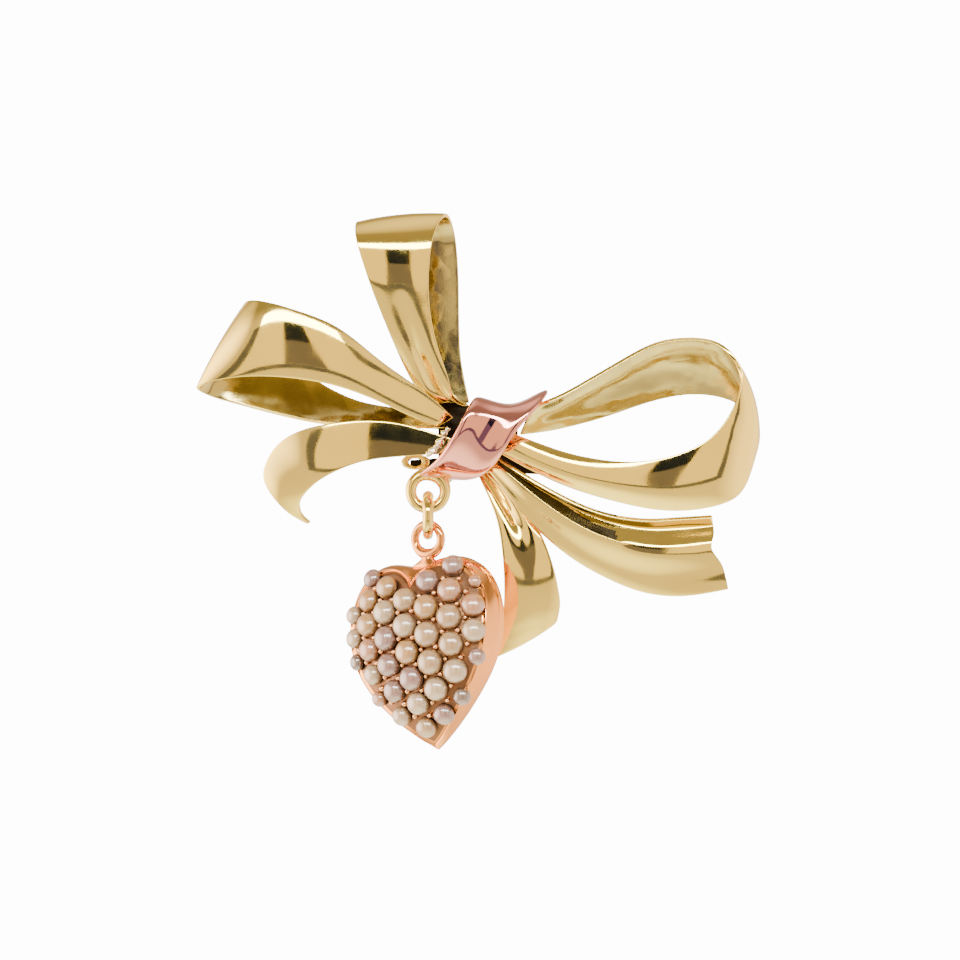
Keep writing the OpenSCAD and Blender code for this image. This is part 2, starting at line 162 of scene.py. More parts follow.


# rough is the middle roughness; wave, lines and pits are depths in millimetres. Pits are the shallow
# hollows that a hammer leaves; dark patches turn the metal nearly black and duller, in rows of middle, full
# and fade-out.
def polishedGold(name, bright, deep, rough=0.07, wave=0.012, lines=0.0015, pits=0.0, darkPatches=()):
    material = newMaterial(name)
    place = addNode(material, "ShaderNodeTexCoord").outputs["Object"]
    cloud = addNode(material, "ShaderNodeTexNoise",
                    {"Vector": place, "Scale": 1 / (goldLook["cloud"] * mm), "Detail": 2.0})
    tint = addNode(material, "ShaderNodeMix",
                   {0: cloud.outputs["Fac"], 6: toLinear(deep), 7: toLinear(bright)}, data_type="RGBA")
    smear = addNode(material, "ShaderNodeTexNoise",
                    {"Vector": place, "Scale": 1 / (goldLook["smear"] * mm), "Detail": 4.0})
    (fromLow, fromHigh), (toLow, toHigh) = goldLook["smearRange"], goldLook["roughRange"]
    roughness = addNode(material, "ShaderNodeMapRange",
                        {"Value": smear.outputs["Fac"], 1: fromLow, 2: fromHigh,
                         3: rough * toLow, 4: rough * toHigh})
    waves = addNode(material, "ShaderNodeTexNoise",
                    {"Vector": place, "Scale": 1 / (goldLook["waves"] * mm), "Detail": 1.0})
    waveBump = addNode(material, "ShaderNodeBump",
                       {"Height": waves.outputs["Fac"], "Strength": 1.0, "Distance": wave * mm})
    grain = addNode(material, "ShaderNodeTexNoise",
                    {"Vector": place, "Scale": 1 / (goldLook["lines"] * mm), "Detail": 3.0})
    grainBump = addNode(material, "ShaderNodeBump",
                        {"Height": grain.outputs["Fac"], "Strength": 1.0, "Distance": lines * mm,
                         "Normal": waveBump.outputs["Normal"]})
    normal, colour, shine = grainBump.outputs["Normal"], tint.outputs[2], roughness.outputs["Result"]
    if pits:
        cells = addNode(material, "ShaderNodeTexVoronoi",
                        {"Vector": place, "Scale": 1 / (goldLook["hammer"] * mm)}, feature="SMOOTH_F1")
        deepAt, flatAt = goldLook["hollow"]
        hollow = addNode(material, "ShaderNodeMapRange",
                         {"Value": cells.outputs["Distance"], 1: deepAt, 2: flatAt})
        normal = addNode(material, "ShaderNodeBump",
                         {"Height": hollow.outputs["Result"], "Strength": 1.0, "Distance": pits * mm,
                          "Normal": normal}).outputs["Normal"]
    for middle, full, fadeOut in darkPatches:
        ragged = goldLook["darkPatchRagged"]
        far = addNode(material, "ShaderNodeVectorMath",
                      {0: place, 1: Vector(middle) * mm}, operation="DISTANCE")
        edge = addNode(material, "ShaderNodeMath",
                       {0: smear.outputs["Fac"], 1: ragged * mm, 2: far.outputs["Value"]},
                       operation="MULTIPLY_ADD")
        black = addNode(material, "ShaderNodeMapRange",
                        {"Value": edge.outputs["Value"], 1: (full + ragged / 2) * mm,
                         2: (fadeOut + ragged / 2) * mm, 3: 1.0, 4: 0.0})
        colour = addNode(material, "ShaderNodeMix",
                         {0: black.outputs["Result"], 6: colour, 7: toLinear(goldLook["darkPatchColour"])},
                         data_type="RGBA").outputs[2]
        shine = addNode(material, "ShaderNodeMath",
                        {0: black.outputs["Result"], 1: goldLook["darkPatchRough"], 2: shine},
                        operation="MULTIPLY_ADD").outputs["Value"]
    shader = addNode(material, "ShaderNodeBsdfPrincipled",
                     {"Base Color": colour, "Metallic": 1.0, "Roughness": shine, "Normal": normal})
    addNode(material, "ShaderNodeOutputMaterial", {"Surface": shader.outputs["BSDF"]})
    return material


# Columns: middle of the dark patch, radius of full black, radius where the darkening ends
# Painted shade: the hole of the pin fitting's eye is painted black
lugEyePaintedShade = [((-8.3, -2.2, 0.55), 0.5, 0.8)]
# Darkened nearly black on the inside gold beside the knot's cavity
cavityDarkening = [((-4.4, -3.0, 4.4), 1.9, 3.0)]
# Buffed 9 carat yellow gold: clear reflections with sharp edges, warm and a little green; painted shade
# blackens the eye's hole
yellowGold = polishedGold("polished_yellow_gold", "#FFE46E", "#F6D660", darkPatches=lugEyePaintedShade)
# Gold darkened nearly black, with only a dull gleam
nearlyBlackGold = polishedGold("nearly_black_gold", "#2A2219", "#120E0A", rough=0.3, wave=0.05)
# The side of the sheet that no buff reached: satin and hollowed by the hammer. Its darker olive tint is
# partly painted shade of the loops' insides, and it is darkened nearly black beside the knot.
insideGold = polishedGold("satin_gold_inside_painted_shade", "#E2D07A", "#A29052",
                          rough=0.15, wave=0.05, lines=0.004, pits=0.05, darkPatches=cavityDarkening)
# The narrow gutter of the right tail: dark as painted shade of the channel, grainy, with a soft gleam
gutterShadeGold = polishedGold("gutter_gold_painted_shade", "#5C5644", "#16140F", rough=0.24, wave=0.05, lines=0.01)
# Solder run out of a joint: pale, lumpy and bright
solder = polishedGold("pale_gold_solder", "#FFF2D0", "#EEDCB0", rough=0.14, wave=0.06)
# Buffed rose gold of the knot: the sharpest mirror here, pink where it reflects the tent
roseGold = polishedGold("polished_rose_gold", "#F0A492", "#E29684", rough=0.06)
# Rose gold of the heart, worn by handling: softer, wavier reflections and a paler pink
heartGold = polishedGold("polished_pale_rose_gold", "#FFB05E", "#F6A250", rough=0.08, wave=0.03)
# The face between the pearls: brown as painted shade in the creases around the pearls, dull and rough
heartBedShaded = polishedGold("rose_gold_bed_painted_shade", "#9C7250", "#624430", rough=0.34, wave=0.03, lines=0.01)
# Grains pushed over the pearls with a hollow tool. Their tint, paler than the heart gold, is a painted
# highlight that makes them small bright points.
grainHighlightGold = polishedGold("grain_gold_painted_highlight", "#FFC890", "#F8B880", rough=0.16)

# Nacre glows from within and has a soft clear shine. Sizes in millimetres. The coat reflects more
# than one real surface does, because nacre reflects from many thin layers.
nacreLook = {
    "cloud": 0.9, "skin": 0.25, "skinDepth": 0.003, "paintedShadeColour": "#3E2A1C", "rough": 0.3, "ior": 1.6,
    "glow": 0.2, "glowReach": (0.4, 0.3, 0.22), "glowDepth": 0.6,
    "coat": 1.0, "coatRough": 0.2, "coatIor": 2.3,
}


# Half pearl: a translucent nacre body under a clear soft coat, with painted shade darkening it toward its
# seat and edges
def nacre(name, body, shade):
    material = newMaterial(name)
    place = addNode(material, "ShaderNodeTexCoord").outputs["Object"]
    cloud = addNode(material, "ShaderNodeTexNoise",
                    {"Vector": place, "Scale": 1 / (nacreLook["cloud"] * mm), "Detail": 3.0})
    tint = addNode(material, "ShaderNodeMix",
                   {0: cloud.outputs["Fac"], 6: toLinear(shade), 7: toLinear(body)}, data_type="RGBA")
    seat = addNode(material, "ShaderNodeVertexColor", layer_name="paintedSeatShade")
    # Painted shade: the seat attribute mixes the nacre toward a dark brown near the seat
    seatShaded = addNode(material, "ShaderNodeMix",
                   {0: seat.outputs["Color"], 6: tint.outputs[2], 7: toLinear(nacreLook["paintedShadeColour"])},
                   data_type="RGBA")
    skin = addNode(material, "ShaderNodeTexNoise",
                   {"Vector": place, "Scale": 1 / (nacreLook["skin"] * mm), "Detail": 2.0})
    bump = addNode(material, "ShaderNodeBump",
                   {"Height": skin.outputs["Fac"], "Strength": 1.0,
                    "Distance": nacreLook["skinDepth"] * mm})
    shader = addNode(material, "ShaderNodeBsdfPrincipled",
                     {"Base Color": seatShaded.outputs[2],
                      "Roughness": nacreLook["rough"], "IOR": nacreLook["ior"],
                      "Subsurface Weight": nacreLook["glow"], "Subsurface Radius": nacreLook["glowReach"],
                      "Subsurface Scale": nacreLook["glowDepth"] * mm, "Coat Weight": nacreLook["coat"],
                      "Coat Roughness": nacreLook["coatRough"], "Coat IOR": nacreLook["coatIor"],
                      "Normal": bump.outputs["Normal"]})
    addNode(material, "ShaderNodeOutputMaterial", {"Surface": shader.outputs["BSDF"]})
    return material


# Seed pearls are never quite one colour: creams, with some peach, mauve and grey among them
pearlTints = {
    "cream": nacre("nacre_cream", "#C49E66", "#A87E48"),
    "yellow": nacre("nacre_yellow", "#CA984C", "#AE7C36"),
    "peach": nacre("nacre_peach", "#CE9262", "#B27444"),
    "lilac": nacre("nacre_lilac", "#A67C6C", "#865E4E"),
    "white": nacre("nacre_white", "#D2B68A", "#B49466"),
    "grey": nacre("nacre_grey", "#866A52", "#684E3A"),
}
print("materials made")

# ribbon sheets
# insideAt: a point just over the side of the sheet that was never polished
ribbons = {
    "left_loop": {"piece": "leftLoopSheet", "insideAt": (-20.0, -5.5, 7.0)},
    "top_loop": {"piece": "topLoopSheet", "insideAt": (-8.5, -5.5, 16.0)},
    "right_loop": {"piece": "rightLoopSheet", "insideAt": (18.0, -6.0, 4.0)},
    "left_tail": {"piece": "leftTailSheet", "insideAt": None},
    "low_tail": {"piece": "lowTailSheet", "insideAt": None},
    "right_tail": {"piece": "rightTailSheet", "insideAt": None},
}
sheetLook = {"edgeRound": 0.09 * mm, "edgeSteps": 2, "sharpAbove": 52, "nearness": 8, "smooth": 2}


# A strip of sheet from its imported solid: the flat sides become quads between the sharp edges, the
# edges are rounded, and the side that faces insideAt takes the second material
def ribbonSheet(nodeName, look, outside, inside):
    sheet = workedCopy(nodeName, look["piece"])
    sheet.data.materials.append(outside)
    sheet.data.materials.append(inside)
    editMode(sheet)
    bpy.ops.mesh.select_mode(type="EDGE")
    bpy.ops.mesh.edges_select_sharp(sharpness=math.radians(sheetLook["sharpAbove"]))
    bpy.ops.mesh.mark_seam(clear=False)
    bpy.ops.mesh.select_mode(type="FACE")
    bpy.ops.mesh.select_all(action="SELECT")
    bpy.ops.mesh.tris_convert_to_quads(face_threshold=math.pi, shape_threshold=math.pi, seam=True)
    mesh = bmesh.from_edit_mesh(sheet.data)
    oddTriangles = sum(1 for f in mesh.faces if len(f.verts) == 3)
    if look["insideAt"]:
        goal = Vector(look["insideAt"]) * mm
        bpy.ops.mesh.select_all(action="DESELECT")
        mesh.faces.ensure_lookup_table()
        seed = min(mesh.faces, key=lambda f: -f.normal.dot((goal - f.calc_center_median()).normalized())
                   + (goal - f.calc_center_median()).length / (sheetLook["nearness"] * mm))
        seed.select_set(True)
        bmesh.update_edit_mesh(sheet.data)
        bpy.ops.mesh.select_linked(delimit={"SEAM"})
        sheet.active_material_index = 1
        bpy.ops.object.material_slot_assign()
    bpy.ops.mesh.select_mode(type="EDGE")
    bpy.ops.mesh.select_all(action="DESELECT")
    mesh = bmesh.from_edit_mesh(sheet.data)
    for edge in mesh.edges:
        edge.select_set(edge.seam)
    bmesh.update_edit_mesh(sheet.data)
    bpy.ops.mesh.bevel(offset=sheetLook["edgeRound"], segments=sheetLook["edgeSteps"], affect="EDGES")
    objectMode()
    addModifier(sheet, "SUBSURF", levels=sheetLook["smooth"], render_levels=sheetLook["smooth"])
    applyModifiers(sheet)
    bpy.ops.object.shade_smooth()
    print(look["piece"], "odd triangles:", oddTriangles, "faces:", len(sheet.data.polygons))
    return sheet


# The cut end of the right tail is drawn in at its middle, and its gutter is painted dark as painted shade
tailEnd = {"from": 17.5, "to": 21.0, "up": -8.1, "spread": 1.2, "inward": 0.8}
gutter = {"upward": 0.45, "forward": -0.1, "shadeEndsAt": 11.6}


def drawnIn(p):
    weight = min(1.0, max(0.0, (p.x - tailEnd["from"]) / (tailEnd["to"] - tailEnd["from"])))
    dip = math.exp(-((p.z - tailEnd["up"]) / tailEnd["spread"]) ** 2)
    return p.x - tailEnd["inward"] * weight * dip, p.y, p.z


for nodeName, look in ribbons.items():
    sheet = ribbonSheet(nodeName, look, yellowGold, insideGold)
    if nodeName == "right_tail":
        reshape(sheet, drawnIn)
        sheet.data.materials.append(gutterShadeGold)
        # Painted shade: gutter faces that look up and forward, short of a set distance across, take the
        # dark gutter material
        for face in sheet.data.polygons:
            n, across = face.normal, face.center.x / mm
            if n.z > gutter["upward"] and n.y < gutter["forward"] and across < gutter["shadeEndsAt"]:
                face.material_index = 2
    finishPiece(sheet, "brooch", "yellow_gold", nodeName)
print("ribbon sheets made")


# A solid drawn ring by ring: a filled circle is moved onto the first ring and extruded to the rest.
# Rings are lists of points in millimetres; from ring changeAt on, new faces take the second material.
def ringStack(pieceName, rings, materials, changeAt=None):
    bpy.ops.mesh.primitive_circle_add(vertices=len(rings[0]), radius=mm, fill_type="NGON")
    piece = bpy.context.object
    piece.name = pieceName
    for material in materials:
        piece.data.materials.append(material)
    before = [v.co.copy() for v in piece.data.vertices]
    editMode(piece, "ALL")
    for number, ring in enumerate(rings):
        if number:
            bpy.ops.mesh.extrude_region_move()
        if number == changeAt:
            piece.active_material_index = 1
            bpy.ops.object.material_slot_assign()
        after = [Vector(point) * mm for point in ring]
        mesh = bmesh.from_edit_mesh(piece.data)
        for v in mesh.verts:
            if v.select:
                v.co = after[min(range(len(before)), key=lambda k: (before[k] - v.co).length_squared)]
        bmesh.update_edit_mesh(piece.data)
        before = after
        if changeAt is not None and number > changeAt:
            bpy.ops.mesh.select_more()
            bpy.ops.object.material_slot_assign()
            bpy.ops.mesh.select_less()
    bpy.ops.mesh.select_all(action="SELECT")
    bpy.ops.mesh.normals_make_consistent(inside=False)
    objectMode()
    return piece


def joinInto(piece, *others):
    makeActive(piece)
    for other in others:
        other.select_set(True)
    bpy.ops.object.join()


# knot
# Rows run down the band. Columns: left rim across and up, right rim across and up, then how far each
# rim is set back. The band is a saddle, and its top sags between the rims.
knot = {
    "rows": [
        (-1.4, 5.8, 3.6, 6.0, 4.6, 4.6),
        (-2.2, 6.95, 4.8, 7.8, 2.2, 2.6),
        (-2.8, 6.7, 4.85, 7.4, 0.8, 1.5),
        (-3.3, 5.6, 4.2, 6.5, 0.1, 0.8),
        (-3.95, 4.3, 3.05, 5.2, 0.0, 0.5),
        (-5.0, 2.4, 1.3, 3.4, 0.0, 0.4),
        (-6.1, 0.75, 0.4, 1.6, 0.0, 0.4),
        (-7.4, -0.25, -0.8, -0.15, 0.2, 0.5),
        (-8.3, -0.75, -2.1, -0.95, 0.8, 1.0),
        (-8.7, -0.95, -3.6, -1.2, 2.0, 2.2),
        (-8.2, -0.8, -4.2, -0.9, 3.6, 3.6),
    ],
    "across": [0, 0.05, 0.14, 0.32, 0.5, 0.68, 0.86, 0.95, 1],
    "lip": [0.5, 0.1, 0, 0, 0, 0, 0, 0.1, 0.5],
    "topSag": [0, 1.25, 1.2, 0.5, 0.1],
    "middle": (-1.5, -9.35, 4.0), "bendX": -0.26, "twist": 0.13, "bendZ": 0.09, "fade": 30,
    "sagPower": 1.5, "thickness": 0.5, "smooth": 3,
}


def knotPoint(row, column):
    ax, az, bx, bz, backA, backB = knot["rows"][row]
    v = knot["across"][column]
    x, z = ax + (bx - ax) * v, az + (bz - az) * v
    if row < len(knot["topSag"]):
        z -= knot["topSag"][row] * math.sin(math.pi * v) ** knot["sagPower"]
    dx, dz = x - knot["middle"][0], z - knot["middle"][2]
    bend = knot["bendX"] * dx * dx / (1 + dx * dx / knot["fade"])
    y = knot["middle"][1] + (bend + 2 * knot["twist"] * dx * dz + knot["bendZ"] * dz * dz) / 2
    return x, y + backA + (backB - backA) * v + knot["lip"][column], z


rowCount, columnCount = len(knot["rows"]), len(knot["across"])
bpy.ops.mesh.primitive_grid_add(x_subdivisions=columnCount - 1, y_subdivisions=rowCount - 1, size=2)
knotBand = bpy.context.object
knotBand.name = "knotBand"
for v in knotBand.data.vertices:
    column = round((v.co.x + 1) / 2 * (columnCount - 1))
    row = round((1 - v.co.y) / 2 * (rowCount - 1))
    v.co = Vector(knotPoint(row, column)) * mm
addModifier(knotBand, "SOLIDIFY", thickness=knot["thickness"] * mm, offset=0)
addModifier(knotBand, "SUBSURF", levels=knot["smooth"], render_levels=knot["smooth"])
applyModifiers(knotBand)
editMode(knotBand, "ALL")
bpy.ops.mesh.normals_make_consistent(inside=False)
objectMode()
makeActive(knotBand)
bpy.ops.object.shade_smooth()
knotBand.data.materials.append(roseGold)
finishPiece(knotBand, "brooch", "rose_gold", "knot_band")
print("knot made")

# fittings
wireLook = {"around": 72, "section": 24, "ripple": 0.012, "ripples": 5, "footPower": 3}


# A ring of wire, a little uneven like hand-drawn wire, and thicker or thinner toward its foot, which
# is a direction in the flat ring before it is turned
def wireRing(pieceName, ring, turn):
    bpy.ops.mesh.primitive_torus_add(major_segments=wireLook["around"], minor_segments=wireLook["section"],
                                     major_radius=ring["radius"] * mm, minor_radius=ring["wire"] / 2 * mm)
    piece = bpy.context.object
    piece.name = pieceName

    def swell(p):
        onRing = Vector((p.x, p.y, 0)).normalized() * ring["radius"]
        share = max(0.0, onRing.normalized().dot(Vector(ring["foot"]))) ** wireLook["footPower"]
        ripple = 1 + wireLook["ripple"] * math.sin(wireLook["ripples"] * math.atan2(p.y, p.x))
        return onRing + (p - onRing) * ripple * (1 + ring["thicker"] * share)

    reshape(piece, swell)
    piece.data.transform(Matrix.Translation(Vector(ring["middle"]) * mm) @ turn)
    makeActive(piece)
    bpy.ops.object.shade_smooth()
    piece.data.materials.append(yellowGold)
    return piece


def roundAngles(count):
    return [k * math.pi / (count / 2) for k in range(count)]


def smoothOut(piece):
    addModifier(piece, "SUBSURF", levels=2, render_levels=2)
    applyModifiers(piece)
    makeActive(piece)
    bpy.ops.object.shade_smooth()


# The ring is held by a stub that runs back to the plate and by a blob of solder, its seat.
# Columns of the stub: depth, radius, rise. Columns of the seat: depth, radius, shift.
hanger = {
    "middle": (-7.2, -5.2, -2.4), "radius": 1.71, "wire": 1.12, "thicker": 0.25, "foot": (0.35, 0.94, 0),
    "stub": [(-5.3, 0.4, 0.0), (-4.8, 0.44, 0.02), (-3.6, 0.42, 0.08), (-2.85, 0.5, 0.12),
             (-2.6, 0.8, 0.15)],
    "seatAt": (-5.9, -4.6, -1.0), "seatWide": 1.5, "seatSlope": 0.4,
    "seat": [(-0.95, 0.2, -0.1), (-0.8, 0.55, -0.05), (-0.3, 0.72, 0.0), (0.6, 0.78, 0.1), (1.8, 0.7, 0.2)],
}
upright = Matrix.Rotation(math.radians(90), 4, "X")
hangerRing = wireRing("hangerRing", hanger, upright)
x, y, z = hanger["middle"]
top = z + hanger["radius"]
stub = ringStack("hangerStub", [
    [(x + r * math.cos(a), depth, top + rise + r * math.sin(a)) for a in roundAngles(20)]
    for depth, r, rise in hanger["stub"]], [yellowGold])
x, y, z = hanger["seatAt"]
wide, slope = hanger["seatWide"], hanger["seatSlope"]
seat = ringStack("hangerSeat", [
    [(x + r * wide * math.cos(a) + shift, y + depth, z + r * math.sin(a) - shift * slope)
     for a in roundAngles(20)]
    for depth, r, shift in hanger["seat"]], [yellowGold])
smoothOut(stub)
smoothOut(seat)
joinInto(hangerRing, stub, seat)
finishPiece(hangerRing, "brooch", "yellow_gold", "hanger_ring")

# The link is a little thinner at its foot, where the heart's bail hangs and swings in it
link = {"middle": (-7.2, -5.2, -4.84), "radius": 1.92, "wire": 1.1, "thicker": -0.06, "foot": (1, 0, 0)}
linkRing = wireRing("linkRing", link, Matrix.Rotation(math.radians(90), 4, "Y"))
finishPiece(linkRing, "link", "yellow_gold", "link")

# The fitting keeps its imported shape with softened edges. Its left end is tapered, its top right corner
# is kept behind the knot, and the front of its plate is darkened nearly black.
pin = {
    "edge": 0.14, "edgeSteps": 3, "sharpAbove": 60, "smoothUnder": 40, "flatUnder": 1,
    "top": 5.5, "topFrom": -1.5, "darkFrom": 1.0,
    "endFrom": -6.2, "endLow": -1.5, "endHigh": 2.0, "endUp": 0.5, "endShare": 0.5,
}
pinEye = {
    "middle": (-8.5, -2.6, 0.5), "radius": 0.8, "wire": 0.6, "thicker": 0.2, "foot": (1, 0, 0),
    "stretch": (1.3, 1, 0.72, 1),
}
pinFitting = workedCopy("pin_fitting", "pinFitting")
pinFitting.data.materials.append(yellowGold)
editMode(pinFitting, "ALL")
bpy.ops.mesh.dissolve_limited(angle_limit=math.radians(pin["flatUnder"]))
objectMode()


def trimmed(p):
    z = min(p.z, pin["top"]) if p.x > pin["topFrom"] else p.z
    if p.x < pin["endFrom"] and pin["endLow"] < z < pin["endHigh"]:
        z = pin["endUp"] + (z - pin["endUp"]) * pin["endShare"]
    return p.x, p.y, z


reshape(pinFitting, trimmed)
pinFitting.data.materials.append(nearlyBlackGold)
pinFitting.data.update()
for face in pinFitting.data.polygons:
    facesFront = face.normal.y < -0.9
    if facesFront and face.center.z / mm > pin["darkFrom"]:
        face.material_index = 1
addModifier(pinFitting, "BEVEL", width=pin["edge"] * mm, segments=pin["edgeSteps"], limit_method="ANGLE",
            angle_limit=math.radians(pin["sharpAbove"]), use_clamp_overlap=True)
applyModifiers(pinFitting)
makeActive(pinFitting)
bpy.ops.object.shade_smooth_by_angle(angle=math.radians(pin["smoothUnder"]))
eye = wireRing("pinEye", pinEye, Matrix.Diagonal(pinEye["stretch"]) @ upright)
joinInto(pinFitting, eye)
finishPiece(pinFitting, "brooch", "yellow_gold", "pin_fitting")
print("fittings made")

# Small lumps of solder left where the strips meet beside the knot. Columns: across, up, radius.
lumps = {
    "rows": [(-7.1, 1.25, 0.26), (-6.7, 1.6, 0.34), (-6.25, 2.0, 0.3), (-6.0, 2.5, 0.36), (-5.6, 2.9, 0.24),
             (-5.55, 3.4, 0.3), (-5.2, 3.75, 0.2)],
    "depth": -7.4, "wide": 1.3, "uneven": 0.16, "waves": (3, 4),
}
solderLumps = []
for number, (across, rise, size) in enumerate(lumps["rows"]):
    bpy.ops.mesh.primitive_ico_sphere_add(subdivisions=3, radius=mm)
    lump = bpy.context.object
    lump.name = "solderLump_%d" % number
    wavesAcross, wavesUp = lumps["waves"]
    for v in lump.data.vertices:
        x, y, z = v.co / mm
        uneven = math.sin(wavesAcross * x + number) * math.cos(wavesUp * z + 2 * number)
        swell = size * (1 + lumps["uneven"] * uneven)
        v.co = Vector((across + x * swell * lumps["wide"], lumps["depth"] + y * swell,
                       rise + z * swell)) * mm
    makeActive(lump)
    bpy.ops.object.shade_smooth()
    solderLumps.append(lump)
joinInto(solderLumps[0], *solderLumps[1:])
solderLumps[0].name = "solderLumps"
solderLumps[0].data.materials.append(solder)
finishPiece(solderLumps[0], "brooch", "yellow_gold")

# heart
# Rows run round the right half from the cleft to the tip. Columns: rim across and up, edge across
# and up, as shares of half width and height, then the depth of the rim and of the edge.
heart = {
    "middle": (-7.2, -5.2, -18.61),  # where the heart's own frame sits
    "turn": 30, "lean": 8,
    "width": 17.4, "height": 19.5, "upShare": 0.98, "centre": 0.6,
    "faceRadius": 16.0, "faceMiddle": 12.48, "crown": 2.94,
    "rows": [
        (0.00, 0.870, 0.00, 0.965, -1.80, 0.4),
        (0.05, 0.918, 0.12, 0.974, -1.35, 0.5),
        (0.20, 0.965, 0.28, 0.996, -0.75, 0.7),
        (0.42, 0.978, 0.47, 1.000, -0.25, 1.0),
        (0.62, 0.945, 0.68, 0.970, -0.12, 1.2),
        (0.79, 0.872, 0.87, 0.895, -0.25, 1.3),
        (0.885, 0.785, 0.97, 0.795, -0.65, 1.3),
        (0.915, 0.680, 1.00, 0.680, -1.30, 1.2),
        (0.895, 0.565, 0.97, 0.565, -1.72, 1.1),
        (0.825, 0.455, 0.885, 0.455, -2.00, 0.9),
        (0.71, 0.350, 0.75, 0.350, -2.12, 0.8),
        (0.52, 0.233, 0.54, 0.230, -2.05, 0.6),
        (0.295, 0.125, 0.31, 0.120, -1.62, 0.4),
        (0.11, 0.048, 0.12, 0.040, -1.00, 0.1),
        (0.00, 0.018, 0.00, 0.000, -0.65, -0.1),
    ],
    # From the back to the pearls. Columns: part, share, depth share, lift toward the front.
    "steps": [
        ("back", 0.30, 0, 0), ("back", 0.65, 0, 0), ("back", 0.90, 0, 0), ("back", 0.985, 0, 0),
        ("wall", 1.03, 1.00, 0), ("wall", 1.04, 0.90, 0), ("wall", 0.98, 0.85, 0), ("wall", 0.97, 0.70, 0),
        ("wall", 0.80, 0.45, 0), ("wall", 0.45, 0.22, 0), ("wall", 0.22, 0.10, 0),
        ("wall", 0.16, 0.03, 0), ("wall", 0.10, 0.00, 0.06), ("wall", -0.06, 0.00, 0.06),
        ("wall", -0.14, 0.03, 0),
        ("face", 0.955, 0, 0), ("face", 0.88, 0, 0), ("face", 0.60, 0, 0), ("face", 0.30, 0, 0),
    ],
    "bedFrom": 15,
    # the ridge stays sharp at the cleft and at the tip
    "ridge": {"crease": 0.75, "depthUnder": 1.6, "awayFromMiddle": 6.0, "width": 0.01}, "smooth": 3,
}
heartPlace = (Matrix.Translation(Vector(heart["middle"]) * mm)
              @ Matrix.Rotation(math.radians(-heart["turn"]), 4, "Z")
              @ Matrix.Rotation(math.radians(-heart["lean"]), 4, "Y"))
faceMiddle = heartPlace @ (Vector((0, heart["faceMiddle"], 0)) * mm)


# The face is part of a ball, so that each pearl looks a little another way
def facePoint(x, z):
    return x, heart["faceMiddle"] - math.sqrt(heart["faceRadius"] ** 2 - x * x - z * z), z


def heartRing(part, share, depth, lift):
    half, tall, centre = heart["width"] / 2, heart["height"] * heart["upShare"], heart["centre"]
    low = heart["height"] / 2
    right = []
    for rimX, rimUp, edgeX, edgeUp, front, back in heart["rows"]:
        if part == "wall":
            x, up = rimX + (edgeX - rimX) * share, rimUp + (edgeUp - rimUp) * share
            right.append((x * half, front + (back - front) * depth - lift, up * tall - low))
        elif part == "back":
            x, up = edgeX * share, centre + (edgeUp - centre) * share
            right.append((x * half, back + (heart["crown"] - back) * (1 - share * share), up * tall - low))
        else:
            x, up = rimX * share, centre + (rimUp - centre) * share
            right.append(facePoint(x * half, up * tall - low))
    return right + [(-x, y, z) for x, y, z in reversed(right[1:-1])]


# From ring bedFrom on, the face takes the bed material, brown as painted shade
heartCase = ringStack("heartCase", [heartRing(*step) for step in heart["steps"]],
                      [heartGold, heartBedShaded], heart["bedFrom"])
editMode(heartCase)
bpy.ops.mesh.select_mode(type="EDGE")
mesh = bmesh.from_edit_mesh(heartCase.data)
ridge = heart["ridge"]
for edge in mesh.edges:
    ends = [v.co / mm for v in edge.verts]
    edge.select_set(all(abs(p.x) < ridge["width"] and p.y < ridge["depthUnder"]
                        and abs(p.z) > ridge["awayFromMiddle"] for p in ends))
bmesh.update_edit_mesh(heartCase.data)
bpy.ops.transform.edge_crease(value=ridge["crease"])
objectMode()
addModifier(heartCase, "SUBSURF", levels=heart["smooth"], render_levels=heart["smooth"])
applyModifiers(heartCase)
makeActive(heartCase)
bpy.ops.object.shade_smooth()
heartCase.data.transform(heartPlace)

# The bail is a ring on a foot that spreads over the cleft. Columns of the foot: up, half width and
# half depth.
bail = {
    "middle": (-7.2, -5.2, -7.21), "radius": 1.5, "wire": 0.86, "thicker": 0.3, "foot": (0, -1, 0),
    "footRings": [(-1.35, 0.45, 0.36), (-1.75, 0.62, 0.46), (-2.0, 0.75, 0.52), (-2.35, 1.15, 0.62),
                  (-2.65, 1.75, 0.7), (-3.0, 2.0, 0.6)],
}
bailTurn = Matrix.Rotation(math.radians(-heart["turn"]), 4, "Z")
bailRing = wireRing("bailRing", bail, bailTurn @ upright)
foot = ringStack("bailFoot", [
    [(wide * math.cos(a), deep * math.sin(a), rise) for a in roundAngles(24)]
    for rise, wide, deep in bail["footRings"]], [heartGold])
foot.data.transform(Matrix.Translation(Vector(bail["middle"]) * mm) @ bailTurn)
smoothOut(foot)
bailRing.data.materials.clear()
bailRing.data.materials.append(heartGold)
joinInto(heartCase, bailRing, foot)
finishPiece(heartCase, "heart", "heart_gold", "heart_case")
print("heart made:", len(heartCase.data.polygons), "faces")

